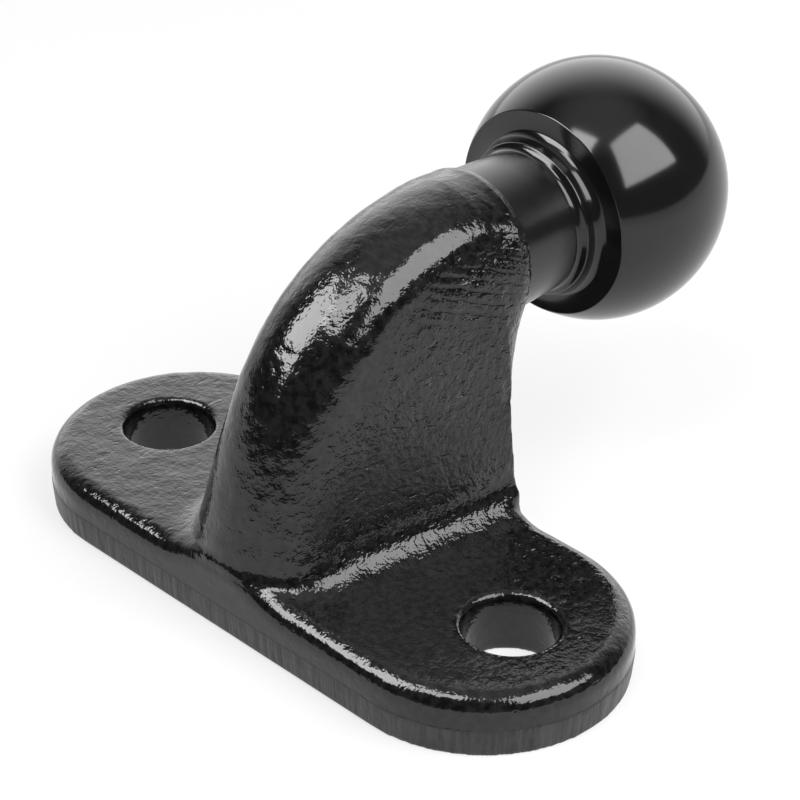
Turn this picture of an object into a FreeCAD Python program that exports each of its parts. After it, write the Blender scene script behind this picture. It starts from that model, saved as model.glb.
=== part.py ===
import FreeCAD, Part
import math
import os
import Sketcher

# A two-bolt tow ball mount: one drop forging whose neck and ball are turned.
# The origin is the middle of the mounting face, midway between the bolt holes.
# +X runs along the bolt line, +Y is where the ball points, +Z leaves the mounting face.

NODE = "tow_ball_mount"

# Driving dimensions in millimetres
SIZES = {
    # Flange that is bolted to the towing bracket
    "flange_length": 130.0,
    "flange_width": 54.4,
    "flange_thickness": 12.0,
    "flange_edge_radius": 4.0,
    # Band below the parting line, sheared when the flash was trimmed off
    "parting_height": 5.6,
    "parting_proud": 0.15,
    "trim_inset": 0.35,
    # Bolt holes
    "bolt_spacing": 90.0,
    "bolt_hole_diameter": 17.0,
    "bolt_hole_lip": 1.7,
    # Spine of the web, a quarter of an ellipse seen from the side
    "spine_ahead": 0.8,
    "spine_setback": 3.1,
    "spine_lift": 5.0,
    "spine_height": 53.3,
    # Axis in front of the web that its sections fan out from
    "fan_offset": 6.0,
    "fan_inner": 4.0,
    # Half widths of the web, at its rounded back and at its front
    "back_radius_foot": 15.1,
    "back_radius_low": 15.0,
    "back_radius_mid": 15.2,
    "back_radius_high": 15.6,
    "back_radius_top": 16.6,
    "front_half_width_foot": 21.5,
    "front_half_width_low": 20.9,
    "front_half_width_mid": 20.8,
    "front_half_width_high": 20.6,
    "front_half_width_top": 19.3,
    "foot_inset": 2.2,
    "foot_sunk": 6.0,
    "root_fillet": 8.0,
    "web_proud": 0.1,
    "front_allowance": 0.4,
    # Shoulder between the web and the neck
    "shoulder_base": 16.0,
    "shoulder_radius": 15.2,
    "shoulder_side_angle": 6.0,
    "shoulder_lower_angle": 45.0,
    # Turned neck and ball, lengths measured back from the centre of the ball
    "ball_diameter": 50.0,
    "ball_reach": 68.8,
    "ball_height": 54.9,
    "neck_length": 33.6,
    "neck_radius_web": 14.3,
    "neck_radius_ball": 13.5,
    "neck_embed": 3.0,
    "collar_radius": 15.0,
    "collar_back": 18.2,
    "collar_fillet": 1.2,
    "ball_face_back": 15.1,
    # Stock around the flange that is trimmed away
    "stock_margin": 20.0,
    "tab_half_width": 22.0,
    "tab_length": 30.0,
}

# Angles above the horizontal of the web's fanned sections, in degrees
FAN_ANGLES = {"low": 0.0, "mid": 30.0, "high": 60.0}

doc = FreeCAD.newDocument(NODE)
sheet = doc.addObject("Spreadsheet::Sheet", "size")
for row, (alias, value) in enumerate(SIZES.items(), start=1):
    sheet.set(f"A{row}", alias.replace("_", " "))
    sheet.set(f"B{row}", str(value))
    sheet.setAlias(f"B{row}", alias)
doc.recompute()

body = doc.addObject("PartDesign::Body", "forging")
body.Label = NODE


def number(expression):
    """Value of an expression on the sheet, in millimetres."""
    return float(body.evalExpression(expression))


mounting_plane = next(item for item in body.Origin.OriginFeatures if item.Role == "XY_Plane")


def new_sketch(name, y="0", z="0", tilt=0.0):
    """Sketch on the mounting plane, moved to y and z and tilted about X by tilt degrees."""
    sketch = body.newObject("Sketcher::SketchObject", name)
    sketch.AttachmentSupport = [(mounting_plane, "")]
    sketch.MapMode = "FlatFace"
    turn = FreeCAD.Rotation(FreeCAD.Vector(1, 0, 0), tilt)
    sketch.AttachmentOffset = FreeCAD.Placement(FreeCAD.Vector(0, number(y), number(z)), turn)
    sketch.setExpression("AttachmentOffset.Base.y", y)
    sketch.setExpression("AttachmentOffset.Base.z", z)
    return sketch


def dimension(sketch, constraint, expression):
    """Add a dimension whose value follows an expression on the sheet."""
    index = sketch.addConstraint(constraint)
    sketch.setExpression(f"Constraints[{index}]", expression)


def locate(sketch, geometry, end, x, y):
    """Fix one end of a line or arc at the place that two expressions give."""
    dimension(sketch, Sketcher.Constraint("DistanceX", -1, 1, geometry, end, number(x)), x)
    dimension(sketch, Sketcher.Constraint("DistanceY", -1, 1, geometry, end, number(y)), y)


def outline(sketch, corners, arcs=()):
    """Closed outline through corners given as pairs of expressions.

    arcs maps the index of a corner to the radius of the arc that leaves it
    counter-clockwise (positive) or clockwise (negative); other edges are straight.
    """
    arcs = dict(arcs)
    points = [FreeCAD.Vector(number(x), number(y), 0) for x, y in corners]
    edges = []
    for index, start in enumerate(points):
        finish = points[(index + 1) % len(points)]
        if index in arcs:
            edges.append(add_arc(sketch, start, finish, arcs[index]))
        else:
            edges.append((sketch.addGeometry(Part.LineSegment(start, finish)), 1, 2))
    for index, (edge, first, _last) in enumerate(edges):
        before, _first, last = edges[index - 1]
        sketch.addConstraint(Sketcher.Constraint("Coincident", before, last, edge, first))
        locate(sketch, edge, first, *corners[index])
    return [edge for edge, _first, _last in edges]


def add_arc(sketch, start, finish, radius_expression):
    """Arc of the shorter sweep between two points; a leading minus turns it clockwise."""
    clockwise = radius_expression.startswith("-")
    expression = radius_expression.lstrip("-")
    radius = number(expression)
    chord = finish - start
    half = chord.Length / 2
    rise = math.sqrt(max(radius ** 2 - half ** 2, 0.0))
    side = FreeCAD.Vector(-chord.y, chord.x, 0).normalize()
    centre = start + chord / 2 + side * (-rise if clockwise else rise)
    first, last = (finish, start) if clockwise else (start, finish)
    from_angle = math.atan2(first.y - centre.y, first.x - centre.x)
    to_angle = math.atan2(last.y - centre.y, last.x - centre.x)
    circle = Part.Circle(centre, FreeCAD.Vector(0, 0, 1), radius)
    arc = sketch.addGeometry(Part.ArcOfCircle(circle, from_angle, to_angle))
    dimension(sketch, Sketcher.Constraint("Radius", arc, radius), expression)
    return (arc, 2, 1) if clockwise else (arc, 1, 2)


def web_section(name, y, z, tilt, inner, reach, back_radius, front_half_width):
    """Section of the web: flat front, two slanted sides and a round back tangent to them."""
    sketch = new_sketch(name, y, z, tilt)
    radius = number(back_radius)
    half = number(front_half_width)
    start = number(inner)
    centre = FreeCAD.Vector(0, number(reach) - radius, 0)
    span = math.hypot(half, start - centre.y)
    lean = math.atan2(start - centre.y, half) + math.acos(radius / span)
    touch = FreeCAD.Vector(radius * math.cos(lean), centre.y + radius * math.sin(lean), 0)
    mirror = FreeCAD.Vector(-touch.x, touch.y, 0)
    right = FreeCAD.Vector(half, start, 0)
    left = FreeCAD.Vector(-half, start, 0)
    circle = Part.Circle(centre, FreeCAD.Vector(0, 0, 1), radius)
    front = sketch.addGeometry(Part.LineSegment(left, right))
    side = sketch.addGeometry(Part.LineSegment(right, touch))
    back = sketch.addGeometry(Part.ArcOfCircle(circle, lean, math.pi - lean))
    other = sketch.addGeometry(Part.LineSegment(mirror, left))
    sketch.addConstraint(Sketcher.Constraint("Coincident", front, 2, side, 1))
    sketch.addConstraint(Sketcher.Constraint("Tangent", side, 2, back, 1))
    sketch.addConstraint(Sketcher.Constraint("Tangent", back, 2, other, 1))
    sketch.addConstraint(Sketcher.Constraint("Coincident", other, 2, front, 1))
    sketch.addConstraint(Sketcher.Constraint("PointOnObject", back, 3, -2))
    locate(sketch, front, 1, f"-({front_half_width})", inner)
    locate(sketch, front, 2, front_half_width, inner)
    dimension(sketch, Sketcher.Constraint("Radius", back, radius), back_radius)
    height = f"{reach} - {back_radius}"
    dimension(sketch, Sketcher.Constraint("DistanceY", -1, 1, back, 3, centre.y), height)
    return sketch


def edges_where(feature, test):
    """Names of the edges of a feature that pass a test."""
    return [f"Edge{place}" for place, edge in enumerate(feature.Shape.Edges, start=1) if test(edge)]


def rectangle(half_x, half_y):
    """Corners of a rectangle centred on the origin."""
    return [
        (f"-{half_x}", f"-{half_y}"),
        (half_x, f"-{half_y}"),
        (half_x, half_y),
        (f"-{half_x}", half_y),
    ]


def cut_up(name, sketch):
    """Cut a sketch upwards from the mounting plane, through all of the solid."""
    doc.recompute()
    before = body.Tip.Shape.Volume
    feature = body.newObject("PartDesign::Pocket", name)
    feature.Profile = sketch
    feature.Reversed = True
    feature.Type = "ThroughAll"
    doc.recompute()
    if feature.Shape.Volume >= before:
        raise RuntimeError(f"{name} removes nothing")
    return feature


def dress(name, base, edges, radius):
    """Fillet the named edges of the last feature by a radius from the sheet."""
    feature = body.newObject("PartDesign::Fillet", name)
    feature.Base = (base, edges)
    feature.setExpression("Radius", radius)
    doc.recompute()
    return feature


# Stock plate, larger than the flange, so that the root fillet has room round the web
WEB_FRONT = "(size.flange_width / 2 + size.web_proud)"
plate = body.newObject("PartDesign::AdditiveBox", "stock_plate")
plate.setExpression("Length", "size.flange_length + 2 * size.stock_margin")
plate.setExpression("Width", "size.flange_width + 2 * size.stock_margin")
plate.setExpression("Height", "size.flange_thickness - size.parting_height")
plate.setExpression("Placement.Base.x", "-size.flange_length / 2 - size.stock_margin")
plate.setExpression("Placement.Base.y", "-size.flange_width / 2 - size.stock_margin")
plate.setExpression("Placement.Base.z", "size.parting_height")
doc.recompute()

# Web: sections fan out from an axis in front of it, from the flange up to the shoulder
FAN_Y = "(size.flange_width / 2 + size.spine_ahead + size.fan_offset)"
SPINE_Z = "(size.flange_thickness + size.spine_lift)"
SPINE_DEPTH = "(size.flange_width + size.spine_ahead - size.spine_setback)"
SHOULDER_TOP = f"({SPINE_Z} + size.spine_height)"


def spine_reach(angle):
    """Distance from the fan's axis to the elliptical spine at an angle above the horizontal."""
    bend = f"((cos({angle} deg) / {SPINE_DEPTH}) ^ 2 + (sin({angle} deg) / size.spine_height) ^ 2)"
    lead = f"(size.fan_offset * cos({angle} deg) / {SPINE_DEPTH} ^ 2)"
    rest = f"(1 - (size.fan_offset / {SPINE_DEPTH}) ^ 2)"
    return f"(({lead} + sqrt({lead} ^ 2 + {bend} * {rest})) / {bend})"


foot = web_section(
    "web_foot", FAN_Y, "size.flange_thickness - size.foot_sunk", 180.0, "size.fan_inner",
    f"{FAN_Y} + size.flange_width / 2 - size.foot_inset",
    "size.back_radius_foot", "size.front_half_width_foot",
)
fan = []
for name, angle in FAN_ANGLES.items():
    fan.append(web_section(
        f"web_{name}", FAN_Y, SPINE_Z, 180.0 - angle, "size.fan_inner",
        spine_reach(angle), f"size.back_radius_{name}", f"size.front_half_width_{name}",
    ))
top_sizes = (
    "0", 90.0, f"({SPINE_Z} + size.shoulder_base)",
    SHOULDER_TOP, "size.back_radius_top", "size.front_half_width_top",
)
top = web_section("web_top", f"{WEB_FRONT} + size.front_allowance", *top_sizes)
doc.recompute()
web = body.newObject("PartDesign::AdditiveLoft", "web")
web.Profile = foot
web.Sections = fan + [top]
doc.recompute()

# Root fillet between the web's back and sides and the top of the plate
thickness = number("size.flange_thickness")
half_length = number("size.flange_length / 2")
half_width = number("size.flange_width / 2")
NEAR = 1e-3


def at_root(edge):
    """True for the edges where the web's sides and back stand on the plate."""
    box = edge.BoundBox
    level = abs(box.ZMin - thickness) < NEAR and abs(box.ZMax - thickness) < NEAR
    return level and box.XMax < half_length and box.XMin > -half_length and box.YLength > NEAR


root = dress("root_fillet", web, edges_where(web, at_root), "size.root_fillet")

# Trim everything to the flange's outline, save for a tab that carries the web's front
HALF_LENGTH = "size.flange_length / 2"
HALF_WIDTH = "size.flange_width / 2"
END_CENTRE = "(size.flange_length - size.flange_width) / 2"
STOCK_X = "(size.flange_length / 2 + 2 * size.stock_margin)"
STOCK_Y = "(size.flange_width / 2 + 2 * size.stock_margin)"
TAB_Y = "(size.flange_width / 2 + size.tab_length)"
trim_sketch = new_sketch("trim_outline")
outline(trim_sketch, rectangle(STOCK_X, STOCK_Y))
outline(
    trim_sketch,
    [
        (f"-{END_CENTRE}", f"-{HALF_WIDTH}"),
        (END_CENTRE, f"-{HALF_WIDTH}"),
        (f"{HALF_LENGTH}", "0"),
        (END_CENTRE, HALF_WIDTH),
        ("size.tab_half_width", HALF_WIDTH),
        ("size.tab_half_width", TAB_Y),
        ("-size.tab_half_width", TAB_Y),
        ("-size.tab_half_width", HALF_WIDTH),
        (f"-{END_CENTRE}", HALF_WIDTH),
        (f"-{HALF_LENGTH}", "0"),
    ],
    {1: HALF_WIDTH, 2: HALF_WIDTH, 8: HALF_WIDTH, 9: HALF_WIDTH},
)
trim = cut_up("trim", trim_sketch)

# Rounded top edge of the flange, which climbs over the root fillet at the back


def at_rim(edge):
    """True for the edges along the top of the flange's wall."""
    box = edge.BoundBox
    fillet_top = thickness + number("size.root_fillet")
    if box.ZMin < thickness - NEAR or box.ZMax > fillet_top or max(box.XLength, box.YLength) < NEAR:
        return False
    centre_x = number(END_CENTRE)

    def on_wall(point):
        beyond = max(abs(point.x) - centre_x, 0.0)
        return abs(math.hypot(beyond, point.y) - half_width) < NEAR

    middle = edge.valueAt((edge.FirstParameter + edge.LastParameter) / 2)
    ends = [vertex.Point for vertex in edge.Vertexes]
    return all(on_wall(point) for point in ends + [middle])


dress("flange_rim", trim, edges_where(trim, at_rim), "size.flange_edge_radius")

# Cut off the tab and the allowance, which leaves the web's front flat
tab_sketch = new_sketch("tab_outline")
outline(tab_sketch, [
    (f"-{HALF_LENGTH}", WEB_FRONT),
    (HALF_LENGTH, WEB_FRONT),
    (HALF_LENGTH, STOCK_Y),
    (f"-{HALF_LENGTH}", STOCK_Y),
])
cut_up("tab", tab_sketch)

# Band below the parting line, leaning in where the flash was sheared off


def flange_outline(name, z, proud):
    """Sketch of the flange's outline at height z, moved outwards by an expression."""
    sketch = new_sketch(name, "0", z)
    half = f"({HALF_WIDTH} + {proud})"
    end = f"({HALF_LENGTH} + {proud})"
    outline(
        sketch,
        [
            (f"-{END_CENTRE}", f"-{half}"),
            (END_CENTRE, f"-{half}"),
            (end, "0"),
            (END_CENTRE, half),
            (f"-{END_CENTRE}", half),
            (f"-{end}", "0"),
        ],
        {1: half, 2: half, 4: half, 5: half},
    )
    return sketch


mounting_outline = flange_outline("mounting_outline", "0", "(-size.trim_inset)")
parting_outline = flange_outline("parting_outline", "size.parting_height", "size.parting_proud")
doc.recompute()
band = body.newObject("PartDesign::AdditiveLoft", "trim_band")
band.Profile = mounting_outline
band.Sections = [parting_outline]
band.Ruled = True
doc.recompute()

# Shoulder: from the outline of the web's top to the round end where the neck starts
LOWER_X = "size.shoulder_radius * cos(size.shoulder_lower_angle)"
LOWER_Y = "-size.shoulder_radius * sin(size.shoulder_lower_angle)"
SIDE_X = "size.shoulder_radius * cos(size.shoulder_side_angle)"
SIDE_Y = "size.shoulder_radius * sin(size.shoulder_side_angle)"
shoulder_start = web_section("shoulder_start", WEB_FRONT, *top_sizes)
shoulder_end = new_sketch("shoulder_end", "size.ball_reach - size.neck_length", "size.ball_height", 90.0)
outline(
    shoulder_end,
    [(f"-{LOWER_X}", LOWER_Y), (LOWER_X, LOWER_Y), (SIDE_X, SIDE_Y), (f"-{SIDE_X}", SIDE_Y)],
    {corner: "size.shoulder_radius" for corner in range(4)},
)
doc.recompute()
shoulder = body.newObject("PartDesign::AdditiveLoft", "shoulder")
shoulder.Profile = shoulder_start
shoulder.Sections = [shoulder_end]
shoulder.Ruled = True
doc.recompute()

# Neck, collar and ball, turned about a line through the centre of the ball
turned_sketch = new_sketch("turned_profile", "size.ball_reach", "size.ball_height")
NECK_FILLET = "(size.collar_radius - size.neck_radius_ball)"
NECK_START = "-(size.neck_length + size.neck_embed)"
BALL_RADIUS = "size.ball_diameter / 2"
outline(
    turned_sketch,
    [
        ("0", NECK_START),
        ("size.neck_radius_web", NECK_START),
        ("size.neck_radius_ball", f"-(size.collar_back + {NECK_FILLET})"),
        ("size.collar_radius", "-size.collar_back"),
        ("size.collar_radius", "-(size.ball_face_back + size.collar_fillet)"),
        ("size.collar_radius + size.collar_fillet", "-size.ball_face_back"),
        (f"sqrt(({BALL_RADIUS}) ^ 2 - size.ball_face_back ^ 2)", "-size.ball_face_back"),
        ("0", BALL_RADIUS),
    ],
    {2: f"-{NECK_FILLET}", 4: "-size.collar_fillet", 6: BALL_RADIUS},
)
doc.recompute()
turned = body.newObject("PartDesign::Revolution", "turned")
turned.Profile = turned_sketch
turned.ReferenceAxis = (turned_sketch, ["V_Axis"])
turned.Angle = 360.0
doc.recompute()

# Bolt holes and the rounded lips at their upper ends
hole_sketch = new_sketch("bolt_holes_outline")
HOLE_RADIUS = "size.bolt_hole_diameter / 2"
for side in ("-", ""):
    spot = FreeCAD.Vector(number(f"{side}size.bolt_spacing / 2"), 0, 0)
    ring = Part.Circle(spot, FreeCAD.Vector(0, 0, 1), number(HOLE_RADIUS))
    hole = hole_sketch.addGeometry(ring)
    locate(hole_sketch, hole, 3, f"{side}size.bolt_spacing / 2", "0")
    dimension(hole_sketch, Sketcher.Constraint("Radius", hole, number(HOLE_RADIUS)), HOLE_RADIUS)
holes = cut_up("bolt_holes", hole_sketch)


def at_lip(edge):
    """True for the upper rims of the bolt holes."""
    box = edge.BoundBox
    round_rim = abs(box.XLength - number("size.bolt_hole_diameter")) < NEAR
    return round_rim and abs(box.ZMin - thickness) < NEAR


dress("bolt_hole_lips", holes, edges_where(holes, at_lip), "size.bolt_hole_lip")

doc.recompute()
failed = [item.Label for item in doc.Objects if {"Invalid", "Error"} & set(item.State)]
if failed:
    raise RuntimeError(f"failed features: {failed}")
if body.Shape.isNull() or not body.Shape.isValid() or len(body.Shape.Solids) != 1:
    raise RuntimeError("the forging is not one valid solid")

os.makedirs("parts", exist_ok=True)
body.Shape.exportStep(os.path.join("parts", f"{body.Label}.step"))
print(body.Label, "volume", round(body.Shape.Volume), "box", body.Shape.BoundBox)
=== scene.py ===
# %% [markdown]
# A tow ball mount is one drop forging of steel. Its oval flange is bolted to a towing bracket,
# a curved web rises from the flange, and the neck and ball at its end are turned on a lathe.
# The whole is painted gloss black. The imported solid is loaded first, because everything below
# is made in its frame: metres, with the middle of the mounting face at the origin.

# %% Load the solid
import math

import bmesh
import bpy
import numpy as np
from mathutils import Matrix, Vector


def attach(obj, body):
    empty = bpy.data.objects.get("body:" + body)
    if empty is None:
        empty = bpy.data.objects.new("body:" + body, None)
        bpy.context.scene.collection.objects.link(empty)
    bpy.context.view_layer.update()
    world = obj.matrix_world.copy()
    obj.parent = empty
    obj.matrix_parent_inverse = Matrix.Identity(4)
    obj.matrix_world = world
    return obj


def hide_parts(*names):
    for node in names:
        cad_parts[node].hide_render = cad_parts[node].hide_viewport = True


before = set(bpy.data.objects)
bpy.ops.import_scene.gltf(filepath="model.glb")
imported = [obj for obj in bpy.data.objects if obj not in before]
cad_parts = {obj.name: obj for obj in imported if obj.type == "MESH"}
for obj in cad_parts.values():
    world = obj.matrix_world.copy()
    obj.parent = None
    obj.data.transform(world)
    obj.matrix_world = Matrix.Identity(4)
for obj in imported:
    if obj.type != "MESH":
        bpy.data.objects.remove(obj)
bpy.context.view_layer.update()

MM = 0.001
MICRON = 1e-6
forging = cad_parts["tow_ball_mount"]

# %% [markdown]
# The turned end is described first, since the forged part stops where it starts. A lathe carries
# one profile round an axis, so the natural surface is a profile times an angle. The profile is
# a list of corners, each with its own rounding, because a cut edge under paint is never
# a perfect corner and its small round is what catches the light.

# %% Sizes of the turned end, along its axis from the ball's centre
BALL_CENTRE = np.array([0.0, 68.8, 54.9]) * MM
BALL_RADIUS = 24.97 * MM
BALL_FACE = -15.1 * MM
NECK_START = -33.6 * MM
NECK_HIDDEN = 2 * MM
NECK_EDGE = 0.1 * MM
NECK_END = -19.3 * MM
NECK_RADIUS_AT_WEB = 14.25 * MM
NECK_RADIUS_AT_BALL = 13.5 * MM
COLLAR_START = -18.6 * MM
COLLAR_RADIUS = 14.85 * MM
FLARE_START = -17.4 * MM
FLARE_RADIUS = 2.6 * MM
RIM_ANGLE = 0.02
FLARE_STEPS = 12
BALL_STEPS = 72
LATHE_STEPS = 160
rim_radius = math.sqrt(BALL_RADIUS ** 2 - BALL_FACE ** 2)
print("flat on the ball", round(2 * rim_radius / MM, 1), "mm across")


# %% Profile of the neck, collar and ball
NO_LENGTH = 1e-12


def unit(vectors):
    """Each row divided by its length, where it has one."""
    return vectors / np.maximum(np.linalg.norm(vectors, axis=1, keepdims=True), NO_LENGTH)


def rounded(corners, steps=6):
    """Polyline through corners (radius, length, rounding).

    A corner with rounding is replaced by a quadratic curve that leaves each side
    that far from the corner: (1-t)^2 a + 2t(1-t) corner + t^2 b.
    """
    points = np.array([corner[:2] for corner in corners], float)
    cut = np.array([corner[2] for corner in corners], float)
    before = points - np.roll(points, 1, axis=0)
    after = np.roll(points, -1, axis=0) - points
    t = np.linspace(0.0, 1.0, steps)[None, :, None]
    start = (points - unit(before) * cut[:, None])[:, None, :]
    end = (points + unit(after) * cut[:, None])[:, None, :]
    curve = (1 - t) ** 2 * start + 2 * t * (1 - t) * points[:, None, :] + t ** 2 * end
    pieces = [points[i:i + 1] if cut[i] == 0 else curve[i] for i in range(len(corners))]
    return np.concatenate(pieces)


flare_end = math.asin((BALL_FACE - FLARE_START) / FLARE_RADIUS)
flare_lean = np.linspace(0.0, flare_end, FLARE_STEPS)
flare = np.stack([
    COLLAR_RADIUS + FLARE_RADIUS * (1 - np.cos(flare_lean)),
    FLARE_START + FLARE_RADIUS * np.sin(flare_lean),
    np.zeros(FLARE_STEPS),
], axis=1)
ball_angle = np.linspace(math.asin(BALL_FACE / BALL_RADIUS) + RIM_ANGLE, math.pi / 2, BALL_STEPS)
ball_arc = np.stack([np.cos(ball_angle), np.sin(ball_angle)], axis=1) * BALL_RADIUS
turned_corners = [
    (0.0, NECK_START - NECK_HIDDEN, 0.0),
    (NECK_RADIUS_AT_WEB, NECK_START - NECK_HIDDEN, 0.0),
    (NECK_RADIUS_AT_WEB, NECK_START + NECK_EDGE, 0.2 * MM),
    (NECK_RADIUS_AT_BALL, NECK_END, 0.9 * MM),
    (COLLAR_RADIUS, COLLAR_START, 0.3 * MM),
    *flare,
    (rim_radius, BALL_FACE, 0.2 * MM),
    (*ball_arc[0], 0.0),
]
turned_profile = np.concatenate([rounded(turned_corners)[:-1], ball_arc])
turned_profile[-1, 0] = 0.0
print("turned profile", len(turned_profile), "points")


# %% Lathe
def lathe(name, profile, centre, count):
    """Surface of revolution about +Y: (r sin a, s, r cos a) for profile points (r, s).

    A profile point on the axis becomes one pole, so both ends are closed.
    """
    angle = np.linspace(0.0, 2 * math.pi, count, endpoint=False)
    ring = profile[1:-1]
    grid = np.stack([
        ring[:, :1] * np.sin(angle),
        np.repeat(ring[:, 1:], count, axis=1),
        ring[:, :1] * np.cos(angle),
    ], axis=2).reshape(-1, 3)
    poles = np.array([[0.0, profile[0, 1], 0.0], [0.0, profile[-1, 1], 0.0]])
    vertices = np.concatenate([grid, poles]) + centre
    row, col = np.meshgrid(np.arange(len(ring) - 1), np.arange(count), indexing="ij")
    nxt = (col + 1) % count
    quads = np.stack([
        row * count + col, row * count + nxt, (row + 1) * count + nxt, (row + 1) * count + col,
    ], axis=2).reshape(-1, 4)
    turn = np.arange(count)
    last = (len(ring) - 1) * count
    first_fan = np.stack([np.full(count, len(grid)), (turn + 1) % count, turn], axis=1)
    last_fan = np.stack([np.full(count, len(grid) + 1), last + turn, last + (turn + 1) % count], axis=1)
    mesh = bpy.data.meshes.new(name)
    mesh.from_pydata(vertices.tolist(), [], quads.tolist() + first_fan.tolist() + last_fan.tolist())
    mesh.polygons.foreach_set("use_smooth", np.ones(len(mesh.polygons), bool))
    mesh.update()
    piece = bpy.data.objects.new(name, mesh)
    bpy.context.collection.objects.link(piece)
    return piece


turned_end = lathe("turned_end", turned_profile, BALL_CENTRE, LATHE_STEPS)
work = bmesh.new()
work.from_mesh(turned_end.data)
bmesh.ops.recalc_face_normals(work, faces=work.faces)
work.to_mesh(turned_end.data)
work.free()
print(turned_end.name, len(turned_end.data.polygons), "faces")

# %% [markdown]
# The forged part keeps the shape of the solid, but its skin isn't smooth: scale and the die leave
# a hammered surface under the paint. The solid's triangles are too long and uneven to carry that,
# so a copy is merged, cut off at the neck, and remeshed into even small faces. Painting the skin
# on with a bump alone would be quicker, but real relief also shows at the outline and in an export.

# %% Cut-off copy of the solid
CUT_BACK = 0.05 * MM
STUB = 3 * MM
neck_plane = BALL_CENTRE[1] + NECK_START


def cut_off(work, plane):
    """Clear away what lies beyond y = plane, and return the edges of the open cut."""
    cut = bmesh.ops.bisect_plane(
        work, geom=work.verts[:] + work.edges[:] + work.faces[:],
        plane_co=(0, plane, 0), plane_no=(0, 1, 0), clear_outer=True,
    )
    return [item for item in cut["geom_cut"] if isinstance(item, bmesh.types.BMEdge)]


work = bmesh.new()
work.from_mesh(forging.data)
bmesh.ops.remove_doubles(work, verts=work.verts, dist=MICRON)
rim = cut_off(work, neck_plane - CUT_BACK)
stub = bmesh.ops.extrude_edge_only(work, edges=rim)["geom"]
stub_verts = [item for item in stub if isinstance(item, bmesh.types.BMVert)]
stub_edges = [item for item in stub if isinstance(item, bmesh.types.BMEdge)]
bmesh.ops.translate(work, verts=stub_verts, vec=(0, STUB, 0))
bmesh.ops.holes_fill(work, edges=stub_edges)
bmesh.ops.recalc_face_normals(work, faces=work.faces)
rough_mesh = bpy.data.meshes.new("forged_rough")
work.to_mesh(rough_mesh)
work.free()
print("copy", len(rough_mesh.polygons), "faces, stub to", round((neck_plane + STUB) / MM, 1), "mm")

# %% Even skin: remeshed, smoothed, laid back on the solid and smoothed again
VOXEL = 0.54 * MM
rough = bpy.data.objects.new("forged_rough", rough_mesh)
guide = bpy.data.objects.new("forged_guide", rough_mesh.copy())
for helper in (rough, guide):
    bpy.context.collection.objects.link(helper)
even = rough.modifiers.new("even", "REMESH")
even.mode = "VOXEL"
even.voxel_size = VOXEL
even.use_smooth_shade = True
soften = rough.modifiers.new("soften", "SMOOTH")
soften.factor = 0.5
soften.iterations = 6
lay = rough.modifiers.new("lay", "SHRINKWRAP")
lay.target = guide
lay.wrap_method = "NEAREST_SURFACEPOINT"
settle = rough.modifiers.new("settle", "SMOOTH")
settle.factor = 0.5
settle.iterations = 5
rough.update_tag()
skin_mesh = bpy.data.meshes.new_from_object(rough.evaluated_get(bpy.context.evaluated_depsgraph_get()))
for helper in (rough, guide):
    bpy.data.objects.remove(helper)
skin_mesh.name = "forged_body"
forged_body = bpy.data.objects.new("forged_body", skin_mesh)
bpy.context.collection.objects.link(forged_body)
print(forged_body.name, len(skin_mesh.polygons), "faces")

# %% Points and normals of the even skin
start = np.empty(len(skin_mesh.vertices) * 3)
skin_mesh.vertices.foreach_get("co", start)
start = start.reshape(-1, 3)
normal = np.empty(len(skin_mesh.vertices) * 3)
skin_mesh.vertex_normals.foreach_get("vector", normal)
normal = normal.reshape(-1, 3)
side, forward, height = start.T
off_middle = np.abs(side)
print("skin", len(start), "points")


# %% Smooth steps
def ramp(value, low, high):
    """Smooth step from 0 at low to 1 at high: t^2 (3 - 2t)."""
    t = np.clip((value - low) / (high - low), 0, 1)
    return t * t * (3 - 2 * t)


def fall(value, low, high):
    """Smooth step from 1 at low to 0 at high."""
    return ramp(-value, -high, -low)


# %% [markdown]
# The web of the real forging has tighter corners at its back than the solid's full round, so its
# flat sides begin sooner, and that shows in its reflections. The web's sections fan out from an axis
# in front of it. Each point's depth behind the spine is found along that fan, and the point moves
# sideways by the difference between two section widths: the round one and the tighter one. Moving
# points keeps the even mesh, where a new loft would not.

# %% Depth behind the spine, a quarter of an ellipse seen from the side
FAN_AXIS_Y = 34.0 * MM
FAN_AXIS_Z = 17.0 * MM
FAN_LEAD = 6.0 * MM
SPINE_DEPTH = 52.1 * MM
SPINE_HEIGHT = 53.3 * MM
FRONT_GAP = 6.65 * MM
STEEPEST = 0.3
above = np.maximum(height - FAN_AXIS_Z, 0)
fan_angle = np.arctan2(above, np.maximum(FAN_AXIS_Y - forward, MICRON))
bend = (np.cos(fan_angle) / SPINE_DEPTH) ** 2 + (np.sin(fan_angle) / SPINE_HEIGHT) ** 2
lead = FAN_LEAD * np.cos(fan_angle) / SPINE_DEPTH ** 2
reach = (lead + np.sqrt(lead ** 2 + bend * (1 - (FAN_LEAD / SPINE_DEPTH) ** 2))) / bend
front = reach - FRONT_GAP / np.maximum(np.cos(fan_angle), STEEPEST)
behind = np.clip(reach - np.hypot(above, FAN_AXIS_Y - forward), 0, front)
print("web's depth up to", round(front.max() / MM, 1), "mm")

# %% Tighter corners
CROWN_RADIUS = 15.2 * MM
CORNER_RADIUS = 8.8 * MM
CORNER_START = math.radians(30)
FRONT_HALF_WIDTH = 20.7 * MM
CROWN_END = CROWN_RADIUS * (1 - math.cos(CORNER_START))
WEB_RISES = (13 * MM, 38 * MM)
WEB_ENDS = (27 * MM, 34 * MM)
LUGS_START = (23 * MM, 26 * MM)


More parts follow.
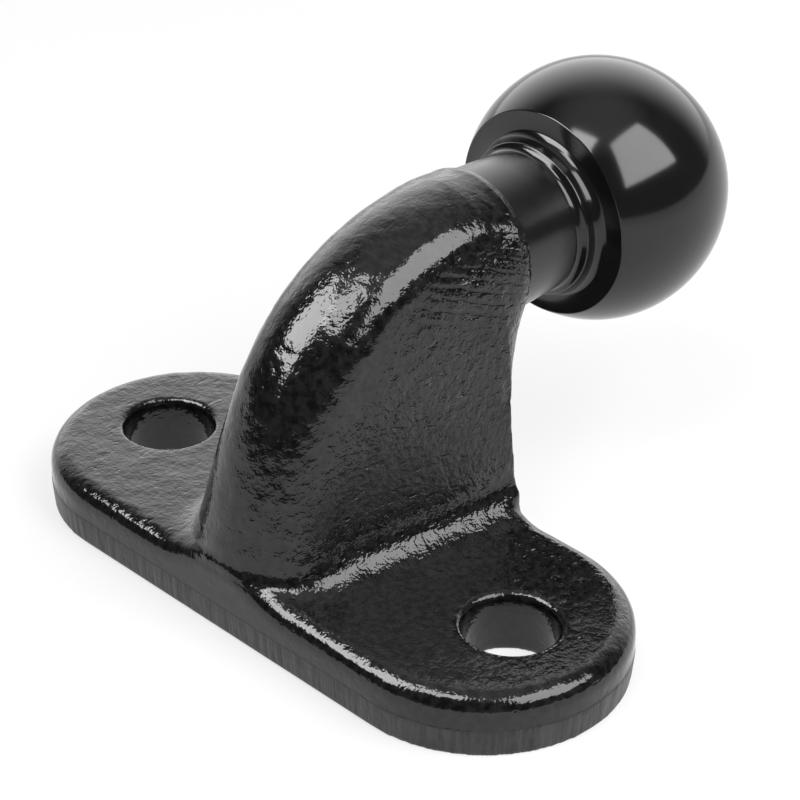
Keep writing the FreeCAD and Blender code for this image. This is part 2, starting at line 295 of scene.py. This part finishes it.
def web_width(depth, front, corner):
    """Half width of the web at a depth behind its spine.

    A round crown, then a corner of its own radius, then a straight side to the front edge.
    The side touches the corner where a line through the front edge is tangent to its circle.
    """
    centre_u = (CROWN_RADIUS - corner) * math.sin(CORNER_START)
    centre_w = CROWN_RADIUS - (CROWN_RADIUS - corner) * math.cos(CORNER_START)
    across, down = FRONT_HALF_WIDTH - centre_u, front - centre_w
    tangent = np.arctan2(down, across) + np.arcsin(np.clip(corner / np.hypot(across, down), 0, 1))
    touch_u = centre_u + corner * np.sin(tangent)
    touch_w = centre_w - corner * np.cos(tangent)
    round_crown = np.sqrt(np.maximum(CROWN_RADIUS ** 2 - (CROWN_RADIUS - depth) ** 2, 0))
    round_corner = centre_u + np.sqrt(np.maximum(corner ** 2 - (centre_w - depth) ** 2, 0))
    straight = touch_u + (depth - touch_w) * (FRONT_HALF_WIDTH - touch_u) / (front - touch_w)
    return np.where(depth < CROWN_END, round_crown, np.where(depth < touch_w, round_corner, straight))


on_web = ramp(height, *WEB_RISES) * fall(forward, *WEB_ENDS) * fall(off_middle, *LUGS_START)
narrow = (web_width(behind, front, CROWN_RADIUS) - web_width(behind, front, CORNER_RADIUS)) * on_web
print("web narrowed by up to", round(narrow.max() / MM, 2), "mm")

# %% [markdown]
# Where the shoulder starts, the web's front edge would show a small step, so it is eased over. The
# web's foot spreads towards the flange at the back, as a forging does for the die to let it go. It
# stops in line with the flange's back edge, so the mount keeps its size.

# %% Front edge and foot
WEB_FLANK = (12 * MM, 15 * MM)
EDGE_EASE = 0.6 * MM
EDGE_HEIGHT = 33.8 * MM
EDGE_STARTS = (32.2 * MM, EDGE_HEIGHT)
EDGE_FADES = (EDGE_HEIGHT, 48 * MM)
EDGE_FRONT = (25.0 * MM, 27.2 * MM)
FOOT_SPREAD = 2.6 * MM
FOOT_STARTS = (12 * MM, 18 * MM)
FOOT_TOP = 43 * MM
FOOT_HEIGHT = 30 * MM
FOOT_FRONT = 20 * MM
FACING_BACK = (0.1, 0.5)
FLANGE_BACK = -27.2 * MM
place = start.copy()
ease = ramp(height, *EDGE_STARTS) * fall(height, *EDGE_FADES)
ease *= ramp(off_middle, *WEB_FLANK) * ramp(forward, *EDGE_FRONT)
place[:, 0] -= np.sign(side) * (narrow + EDGE_EASE * ease)
low_on_web = np.clip((FOOT_TOP - height) / FOOT_HEIGHT, 0, 1) ** 2 * (forward < FOOT_FRONT)
foot = ramp(height, *FOOT_STARTS) * low_on_web * ramp(-normal[:, 1], *FACING_BACK)
place += normal * [1, 1, 0] * (FOOT_SPREAD * foot)[:, None]
place[:, 1] = np.maximum(place[:, 1], FLANGE_BACK)
print("foot spread by up to", round(FOOT_SPREAD * foot.max() / MM, 2), "mm")


# %% Noise for the skin
AXIS_PRIMES = np.array([73856093, 19349663, 83492791], np.uint64)
SEED_PRIME = np.uint64(2654435761)
MIXING = [(np.uint64(15), np.uint64(2246822519)), (np.uint64(13), np.uint64(3266489917))]
LAST_SHIFT = np.uint64(16)
WORD = np.uint64(0xFFFFFFFF)
KEEP_POSITIVE = 1000.0


def lattice(cells, seed):
    """Repeatable value from 0 to 1 for whole-number cells: an integer hash of x, y, z and a seed."""
    key = np.bitwise_xor.reduce(cells.astype(np.uint64) * AXIS_PRIMES, axis=1)
    key = (key + np.uint64(seed) * SEED_PRIME) & WORD
    for shift, prime in MIXING:
        key = (((key >> shift) ^ key) * prime) & WORD
    return ((key >> LAST_SHIFT) ^ key).astype(float) / float(WORD)


def swell(points, scale, seed):
    """Smooth noise from -1 to 1: values on a lattice of that scale, eased between its corners."""
    spread = points / scale + KEEP_POSITIVE
    cell = np.floor(spread).astype(np.int64)
    part = spread - cell
    ease = part ** 3 * (part * (part * 6 - 15) + 10)
    total = np.zeros(len(points))
    for corner in range(8):
        step = np.array([corner & 1, corner >> 1 & 1, corner >> 2 & 1])
        weight = np.prod(np.where(step, ease, 1 - ease), axis=1)
        total += weight * lattice(cell + step, seed)
    return 2 * total - 1


def lumps(points, scale, seed):
    """The same noise from 0 to 1."""
    return 0.5 + 0.5 * swell(points, scale, seed)


def dents(points, scale, share, radius, seed):
    """Round pits from 0 to 1: in a share of the lattice cells, 1 - (distance / radius)^2 about a spot."""
    spread = points / scale + KEEP_POSITIVE
    home = np.floor(spread).astype(np.int64)
    depth = np.zeros(len(points))
    for corner in range(27):
        cell = home + np.array([corner % 3 - 1, corner // 3 % 3 - 1, corner // 9 - 1])
        spot = cell + np.stack([lattice(cell, seed + axis) for axis in range(3)], axis=1)
        gap = np.linalg.norm((spread - spot) * scale, axis=1) / radius
        there = lattice(cell, seed + 3) < share
        depth = np.maximum(depth, np.where(there, np.clip(1 - gap ** 2, 0, 1), 0))
    return depth


# %% [markdown]
# Laps are thin folds that the steel makes as it fills the die. They run across the sides of the web
# near the neck. Each is a line on the side, made as a narrow bell across it.

# %% Laps on the web's sides
LAP_SLOPE = 0.38
FAR_SIDE_SHIFT = 0.9
FADE_IN_BEFORE = 2
FADE_IN_AFTER = 3
FADE_OUT = 1.5
# Height at y = 0, first y, last y and width in millimetres, then strength
LAPS = [
    (76.0, 15, 26, 0.35, 0.7), (74.9, 16, 26, 0.30, 0.6), (71.0, 12, 28, 0.75, 1.0),
    (68.3, 9, 28, 0.45, 0.8), (66.6, 7, 27, 0.40, 0.7), (64.7, 6, 28, 0.40, 0.8),
    (62.9, 7, 16, 0.35, 0.6), (60.4, 5, 27, 0.40, 0.7), (57.6, 10, 24, 0.35, 0.4),
    (54.8, 12, 26, 0.35, 0.4),
]


def lap_lines(points, sign):
    """Folds on one side of the web, 0 to 1.

    Each lap is a line z = height - slope y on the web's side: a bell exp(-(gap / width)^2) across it,
    faded in and out along y, and bent a little by noise.
    """
    y, z = points[:, 1] / MM, points[:, 2] / MM
    wander = 0.5 * swell(points, 5 * MM, 30 + sign) + 0.25 * swell(points, 1.7 * MM, 40 + sign)
    level = z + LAP_SLOPE * y + wander + FAR_SIDE_SHIFT * (sign < 0)
    total = np.zeros(len(points))
    for at, first, last, width, strength in LAPS:
        fade = ramp(y, first - FADE_IN_BEFORE, first + FADE_IN_AFTER)
        fade = fade * fall(y, last - FADE_OUT, last + FADE_OUT)
        total = np.maximum(total, strength * np.exp(-((level - at) / width) ** 2) * fade)
    return total * ramp(sign * points[:, 0], *WEB_FLANK)


laps = lap_lines(start, 1) + lap_lines(start, -1)
print("laps on", int((laps > 0.1).sum()), "points")

# %% [markdown]
# The skin's relief is a sum of simple heights along each point's normal: broad waves from the die,
# hammer-like dimples, scattered pits drawn out along the grain, the laps, and the upright marks of
# shearing on the band where the flash was trimmed off. All of it goes inwards, so the mount keeps
# its size. It is calm at the rim and by the neck, and the mounting face and the holes stay clean.

# %% Hammered skin
# Depth in millimetres, width and seed of the waves, the dimples and the hammer marks
LUMPS = [(0.08, 17 * MM, 1), (0.13, 4.2 * MM, 2), (0.10, 1.9 * MM, 3)]
PIT_DEPTH = 0.07
LAP_DEPTH = 0.12
GRAIN_FLOW = np.array([[1, 0, 0], [0, 0.75, -0.25], [0, -0.25, 0.75]])
pits = dents(start @ GRAIN_FLOW, scale=4.2 * MM, share=0.45, radius=0.8 * MM, seed=10)
skin = sum(deep * lumps(start, width, seed) for deep, width, seed in LUMPS)
skin = skin + PIT_DEPTH * pits + LAP_DEPTH * laps
print("skin's relief up to", round(skin.max(), 3), "mm")

# %% Sheared band round the flange
END_CENTRE = 37.8 * MM
END_RADIUS = 27.2 * MM
MARK_WIDTH = 0.95 * MM
MARK_STRETCH = 0.08
WALLS_APART = 3 * MM
BAND_TOP = (5.3 * MM, 5.9 * MM)
UPRIGHT_WALL = (0.35, 0.6)
past_centre = off_middle - END_CENTRE
round_end = END_RADIUS * np.arctan2(forward, np.maximum(past_centre, 0))
along = np.where(past_centre < 0, side, round_end)
marks = np.stack([along, height * MARK_STRETCH, np.sign(forward) * WALLS_APART], axis=1)
shear = lumps(marks, MARK_WIDTH, seed=8)
band = fall(height, *BAND_TOP) * fall(np.abs(normal[:, 2]), *UPRIGHT_WALL)
print("sheared band on", int((band > 0.5).sum()), "points")

# %% Where the relief is calm, and the finished skin
HOLE_CENTRE = 45 * MM
HOLE_EDGE = (8.7 * MM, 10.4 * MM)
FACE_EDGE = (0.2 * MM, 1.0 * MM)
END_EDGE = (0.5 * MM, 3 * MM)
END_SHARE = 0.25
FLANGE_TOP = (11.5 * MM, 13 * MM)
FACING_UP = (0.65, 0.95)
RIM_CALM = 0.6
BAND_CALM = 0.75
MARK_DEPTH = 0.12
LIP_DEPTH = 0.35
LIP_LENGTH = 1.2 * MM
off_face = ramp(height, *FACE_EDGE)
off_holes = ramp(np.hypot(off_middle - HOLE_CENTRE, forward), *HOLE_EDGE)
off_end = END_SHARE + (1 - END_SHARE) * ramp(neck_plane - forward, *END_EDGE)
at_rim = fall(normal[:, 2], *FACING_UP) * fall(height, *FLANGE_TOP)
relief = skin * (1 - RIM_CALM * at_rim) * (1 - BAND_CALM * band) + MARK_DEPTH * shear * band
lip = ramp(forward, neck_plane - LIP_LENGTH, neck_plane)
depth = relief * off_face * off_holes * off_end + LIP_DEPTH * lip
place -= normal * (depth * MM)[:, None]
skin_mesh.vertices.foreach_set("co", place.ravel())
skin_mesh.update()
print("relief from", round(depth.min(), 3), "to", round(depth.max(), 3), "mm")

# %% Square end of the forging
work = bmesh.new()
work.from_mesh(skin_mesh)
rim = cut_off(work, neck_plane)
end_faces = bmesh.ops.holes_fill(work, edges=rim)["faces"]
for face in end_faces:
    face.smooth = False
for edge in rim:
    edge.smooth = False
work.to_mesh(skin_mesh)
work.free()
print("end of the forging closed with", len(end_faces), "face")
for piece in (forged_body, turned_end):
    piece.data.calc_loop_triangles()
    print(piece.name, len(piece.data.loop_triangles), "triangles")

# %% [markdown]
# Every piece rides on the one body and stands for the one solid, which is hidden.

# %% Tie the pieces to the solid
for piece in (forged_body, turned_end):
    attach(piece, "root")
    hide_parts("tow_ball_mount")


# %% [markdown]
# Shader maths reads best as plain expressions. A small class wraps a socket, so that a line such as
# `0.2 + 0.1 * speckle` builds the Math nodes by itself, and one method makes any other node.

# %% Sockets as numbers
class Flow:
    """An output socket that can be used in expressions."""

    def __init__(self, tree, socket):
        self.tree = tree
        self.socket = socket

    def node(self, kind, settings=None, out=0, **inputs):
        """Another node: its type, its settings, then values or links for its sockets.

        A socket is named by its label, with _ for a space, or by its place, as in0, in1.
        """
        made = self.tree.nodes.new(kind)
        for key, value in (settings or {}).items():
            setattr(made, key, value)
        for key, value in inputs.items():
            target = made.inputs[int(key[2:]) if key.startswith("in") else key.replace("_", " ")]
            if isinstance(value, Flow):
                self.tree.links.new(value.socket, target)
            else:
                target.default_value = value
        return Flow(self.tree, made.outputs[out])

    def maths(self, operation, *values):
        """A Math node on one or more values."""
        places = {f"in{place}": value for place, value in enumerate(values)}
        return self.node("ShaderNodeMath", {"operation": operation}, **places)

    def __add__(self, other):
        return self.maths("ADD", self, other)

    def __radd__(self, other):
        return self.maths("ADD", other, self)

    def __sub__(self, other):
        return self.maths("SUBTRACT", self, other)

    def __rsub__(self, other):
        return self.maths("SUBTRACT", other, self)

    def __mul__(self, other):
        return self.maths("MULTIPLY", self, other)

    def __rmul__(self, other):
        return self.maths("MULTIPLY", other, self)

    def __abs__(self):
        return self.maths("ABSOLUTE", self)


# %% Helpers for the paints
PAINT_IOR = 1.5


def rise(value, low, high):
    """Smooth step from 0 at low to 1 at high, as a node."""
    smooth = {"interpolation_type": "SMOOTHSTEP"}
    return value.node("ShaderNodeMapRange", smooth, Value=value, From_Min=low, From_Max=high)


def drop(value, low, high):
    """Smooth step from 1 at low to 0 at high, as nodes."""
    return 1.0 - rise(value, low, high)


def noise(spot, scale, detail, roughness):
    """Noise texture about 0.5, with features about 1 / scale metres wide."""
    return spot.node("ShaderNodeTexNoise", Vector=spot, Scale=scale, Detail=detail, Roughness=roughness)


def blend(factor, first, second):
    """Colour that goes from the first to the second as the factor goes from 0 to 1."""
    return factor.node("ShaderNodeMix", {"data_type": "RGBA"}, out=2, in0=factor, in6=first, in7=second)


def axes(spot):
    """The x, y and z of a place, each as a number."""
    return [spot.node("ShaderNodeSeparateXYZ", out=axis, Vector=spot) for axis in range(3)]


def new_paint(name):
    """Empty node material: returns it and its Object coordinates."""
    material = bpy.data.materials.new(name)
    material.use_nodes = True
    material.node_tree.nodes["Principled BSDF"].inputs["IOR"].default_value = PAINT_IOR
    where = material.node_tree.nodes.new("ShaderNodeTexCoord")
    return material, Flow(material.node_tree, where.outputs["Object"])


def coat(piece, material, colour, gloss, distance, peel):
    """Finish a paint from its colour, roughness and the depth of its peel, and put it on a piece."""
    shader = material.node_tree.nodes["Principled BSDF"]
    bump = peel.node("ShaderNodeBump", Strength=1.0, Distance=distance, Height=peel)
    for label, value in (("Base Color", colour), ("Roughness", gloss), ("Normal", bump)):
        material.node_tree.links.new(value.socket, shader.inputs[label])
    piece.data.materials.clear()
    piece.data.materials.append(material)
    print(material.name, len(material.node_tree.nodes), "nodes")


# %% [markdown]
# The paint is one glossy black coat. On the forging it lies over scale, so its gloss varies in soft
# patches and a fine peel breaks up the reflections: most on the web's sides, which are scaly near the
# foot, and least on the rim. It is thin and dull on the sheared band, where the edges of the marks
# are painted paler: partly the thin paint, and partly a painted reflection of the floor.
# These zones are told apart by where they are on the part, in Object coordinates.

# %% Zones of the forging, with the stretch over which each one begins or ends
FLANK_BEGINS = (11.0 * MM, 14.5 * MM)
WEB_BEGINS = (17 * MM, 22 * MM)
SCALY_BEGINS = (19 * MM, 24 * MM)
SCALY_ENDS = (28 * MM, 42 * MM)
LAPPED_ABOVE = (44 * MM, 56 * MM)
LAPPED_PAST = (4 * MM, 16 * MM)
RIM_ENDS = (10.5 * MM, 12.2 * MM)
HOLES_END_Y = (9.0 * MM, 10.0 * MM)
HOLES_END_X = (54.5 * MM, 55.5 * MM)
SHEARED_ENDS = (5.2 * MM, 5.8 * MM)
forging_paint, spot = new_paint("paint_on_forging")
across, forwards, upwards = axes(spot)
flank = rise(abs(across), *FLANK_BEGINS)
web_flank = flank * rise(upwards, *WEB_BEGINS)
scaly = flank * rise(upwards, *SCALY_BEGINS) * drop(upwards, *SCALY_ENDS)
near_neck = flank * rise(upwards, *LAPPED_ABOVE) * rise(forwards, *LAPPED_PAST)
calm = 1.0 - RIM_CALM * drop(upwards, *RIM_ENDS)
by_holes = drop(abs(forwards), *HOLES_END_Y) * drop(abs(across), *HOLES_END_X)
sheared = (1.0 - by_holes) * drop(upwards, *SHEARED_ENDS)
print("zones", len(forging_paint.node_tree.nodes), "nodes so far")

# %% Paint on the forging
LAP_SPACING = 2.1 * MM
DARK_PAINT = (0.003, 0.003, 0.0031, 1)
PALE_PAINT = (0.014, 0.014, 0.0145, 1)
# Pale colour of the sheared band's marks: partly thin paint, partly a painted reflection of the floor
SHEARED_PAINT_AND_FLOOR_SHEEN = (0.032, 0.032, 0.033, 1)
patches = noise(spot, scale=90.0, detail=3.0, roughness=0.55)
pebble = noise(spot, scale=680.0, detail=2.0, roughness=0.65)
drawn = spot.node("ShaderNodeMapping", Vector=spot, Rotation=(0.5, 0.0, 0.0), Scale=(1.0, 0.45, 1.2))
flecks = rise(noise(drawn, scale=520.0, detail=2.0, roughness=0.55), 0.60, 0.74)
stretched = spot.node("ShaderNodeMapping", Vector=spot, Scale=(1.0, 1.0, 0.06))
upright_marks = noise(stretched, scale=900.0, detail=2.0, roughness=0.6)
wander = noise(spot, scale=130.0, detail=2.0, roughness=0.5)
phase = (upwards + LAP_SLOPE * forwards) * (2 * math.pi / LAP_SPACING) + 6.0 * wander
folds = rise(phase.maths("SINE", phase), 0.1, 1.0) * near_neck * rise(pebble, 0.30, 0.60)
skin_peel = (pebble - 0.30 * flecks) * calm * (0.5 + 0.4 * flank + 0.8 * web_flank)
coat(
    forged_body, forging_paint,
    # The paler colour on the sheared marks is partly a painted reflection of the floor
    colour=blend(
        sheared * rise(upright_marks, 0.35, 0.65),
        blend(rise(pebble, 0.3, 0.7), DARK_PAINT, PALE_PAINT), SHEARED_PAINT_AND_FLOOR_SHEEN,
    ),
    gloss=0.05 + 0.07 * patches + 0.04 * pebble + 0.28 * scaly + 0.30 * sheared,
    distance=0.24 * MM,
    peel=skin_peel - 0.35 * folds + 0.8 * sheared * upright_marks,
)

# %% [markdown]
# On the turned end the same coat is smooth. The lathe leaves fine rings on the neck, too close to be
# seen one by one, which spread its reflections along the axis. The ball has none and stays clear.

# %% Paint on the turned end
RING_SPACING = 0.31 * MM
RINGS_END = (48.0 * MM, 49.0 * MM)
TURNED_DARK = (0.005, 0.005, 0.0052, 1)
TURNED_PALE = (0.008, 0.008, 0.0083, 1)
turned_paint, spot = new_paint("paint_on_turned_end")
flow = noise(spot, scale=140.0, detail=2.0, roughness=0.5)
forwards = axes(spot)[1]
neck = drop(forwards, *RINGS_END)
turns = forwards * (2 * math.pi / RING_SPACING)
coat(
    turned_end, turned_paint,
    colour=blend(flow, TURNED_DARK, TURNED_PALE),
    gloss=0.09 + 0.06 * flow + 0.09 * neck,
    distance=0.01 * MM,
    peel=1.2 * flow + 0.45 * turns.maths("SINE", turns) * neck,
)

# %% [markdown]
# Gloss black shows little but what it reflects, so the studio matters more than the paint's colour.
# The floor is a plain pale sheet. Most of what the camera and the reflections see of it is its own
# white, so that it stays white, and the rest is lit and keeps the mount's shadow.

# %% Floor
FLOOR_HALF = 8.0
OWN_WHITE = 0.7
PAPER = (0.88, 0.88, 0.88, 1)
floor_mesh = bpy.data.meshes.new("floor")
corners = np.array([[-1, -1, 0], [1, -1, 0], [1, 1, 0], [-1, 1, 0]]) * FLOOR_HALF
floor_mesh.from_pydata(corners.tolist(), [], [(0, 1, 2, 3)])
floor = bpy.data.objects.new("floor", floor_mesh)
bpy.context.collection.objects.link(floor)
white = bpy.data.materials.new("white_floor")
white.use_nodes = True
tree = white.node_tree
tree.nodes.clear()
path = tree.nodes.new("ShaderNodeLightPath")
camera_ray = Flow(tree, path.outputs["Is Camera Ray"])
glossy_ray = Flow(tree, path.outputs["Is Glossy Ray"])
clear_ray = Flow(tree, path.outputs["Is Transmission Ray"])
seen = OWN_WHITE * (camera_ray + glossy_ray + clear_ray)
paper = seen.node("ShaderNodeBsdfDiffuse", Color=PAPER)
glow = seen.node("ShaderNodeEmission", Color=(1, 1, 1, 1), Strength=1.0)
surface = seen.node("ShaderNodeMixShader", in0=seen, in1=paper, in2=glow)
out = tree.nodes.new("ShaderNodeOutputMaterial")
tree.links.new(surface.socket, out.inputs["Surface"])
floor_mesh.materials.append(white)
print("floor", floor.dimensions[:])

# %% [markdown]
# A broad softbox hangs to the right and makes the window on the ball. A lamp above makes the small
# patch beside it. A close softbox to the left of the camera makes the bright streak down the web's
# back. It shows only in the gloss, because its light on the floor would wash out the mount's shadow.


# %% Lamps
def direction(azimuth, elevation):
    """Unit vector towards an azimuth, 0 at -Y and 90 at +X, and an elevation in degrees."""
    a, e = math.radians(azimuth), math.radians(elevation)
    return Vector((math.sin(a) * math.cos(e), -math.cos(a) * math.cos(e), math.sin(e)))


def softbox(name, seen_from, towards, distance, size, brightness, lean=None, shine_only=False):
    """Area lamp in a direction (azimuth, elevation) from a place, facing it.

    Brightness is radiance, where 1 looks white. Lean is how far the panel's face looks down,
    in degrees: its elevation where none is given.
    """
    azimuth, elevation = towards
    width, height = size
    lamp = bpy.data.lights.new(name, "AREA")
    lamp.shape = "RECTANGLE"
    lamp.size, lamp.size_y = width, height
    lamp.energy = brightness * math.pi * width * height
    holder = bpy.data.objects.new(name, lamp)
    away = direction(azimuth, elevation if lean is None else lean)
    level = Vector((0, 0, 1)).cross(away).normalized()
    aim = Matrix((level, away.cross(level), away)).transposed().to_4x4()
    spot = Vector(seen_from) + direction(azimuth, elevation) * distance
    holder.matrix_world = Matrix.Translation(spot) @ aim
    holder.visible_diffuse = not shine_only
    bpy.context.collection.objects.link(holder)
    print(name, [round(value, 3) for value in spot])


WEB_SIDE = (0.015, 0.005, 0.055)
softbox(
    "key_softbox", seen_from=BALL_CENTRE, towards=(98, 53), distance=0.79,
    size=(0.60, 0.70), brightness=6.3, lean=10,
)
softbox(
    "left_softbox", seen_from=WEB_SIDE, towards=(-38, 44), distance=0.35,
    size=(0.21, 0.22), brightness=11.0, shine_only=True,
)
softbox(
    "top_light", seen_from=BALL_CENTRE, towards=(9, 61.5), distance=0.90,
    size=(0.36, 0.30), brightness=9.0,
)

# %% [markdown]
# Behind the mount the world is a bright backdrop that fades to both sides, and overhead it is a little
# lighter than the unlit room in front. The soft edges of the backdrop give the ball its pale rim.

# %% World
BACKDROP_AZIMUTH = -135
BACKDROP_EDGE = (0.35, 0.95)
OVERHEAD_EDGE = (0.75, 1.0)
ROOM = 0.05
BACKDROP = 2.1
OVERHEAD = 0.5
world = bpy.data.worlds.new("studio")
world.use_nodes = True
tree = world.node_tree
look = Flow(tree, tree.nodes.new("ShaderNodeTexCoord").outputs["Generated"])


def facing(towards):
    """How far the view looks along a direction: the cosine of the angle between them."""
    dot = {"operation": "DOT_PRODUCT"}
    return look.node("ShaderNodeVectorMath", dot, out=1, in0=look, in1=towards)


behind_mount = rise(facing(direction(BACKDROP_AZIMUTH, 0)), *BACKDROP_EDGE)
overhead = rise(facing((0, 0, 1)), *OVERHEAD_EDGE)
strength = ROOM + BACKDROP * behind_mount + OVERHEAD * overhead
background = tree.nodes["Background"]
background.inputs["Color"].default_value = (1, 1, 1, 1)
tree.links.new(strength.socket, background.inputs["Strength"])
bpy.context.scene.world = world
print("world", len(tree.nodes), "nodes")

# %% [markdown]
# The camera stands where the picture was taken from: behind the web, about 45 degrees round from the
# ball's axis and 31 degrees up, half a metre away with a long lens.

# %% Camera
AZIMUTH = 44.82
ELEVATION = 31.44
ROLL = math.radians(0.86)
DISTANCE = 491.17 * MM
TARGET = Vector((7.33, 10.0, 35.93)) * MM
FOCAL_PIXELS = 2761.3
PICTURE_PIXELS = 800
SENSOR_WIDTH = 36.0
camera_data = bpy.data.cameras.new("camera")
camera_data.sensor_width = SENSOR_WIDTH
camera_data.lens = FOCAL_PIXELS / PICTURE_PIXELS * SENSOR_WIDTH
camera_data.clip_start, camera_data.clip_end = 0.01, 50.0
camera = bpy.data.objects.new("camera", camera_data)
back = direction(AZIMUTH, ELEVATION)
level = (-back).cross(Vector((0, 0, 1))).normalized()
upright = level.cross(-back)
right = level * math.cos(ROLL) + upright * math.sin(ROLL)
up = upright * math.cos(ROLL) - level * math.sin(ROLL)
aim = Matrix((right, up, back)).transposed().to_4x4()
camera.matrix_world = Matrix.Translation(TARGET + back * DISTANCE) @ aim
bpy.context.collection.objects.link(camera)
bpy.context.scene.camera = camera
bpy.context.scene.view_settings.view_transform = "Standard"
print("camera at", [round(value, 4) for value in camera.location])
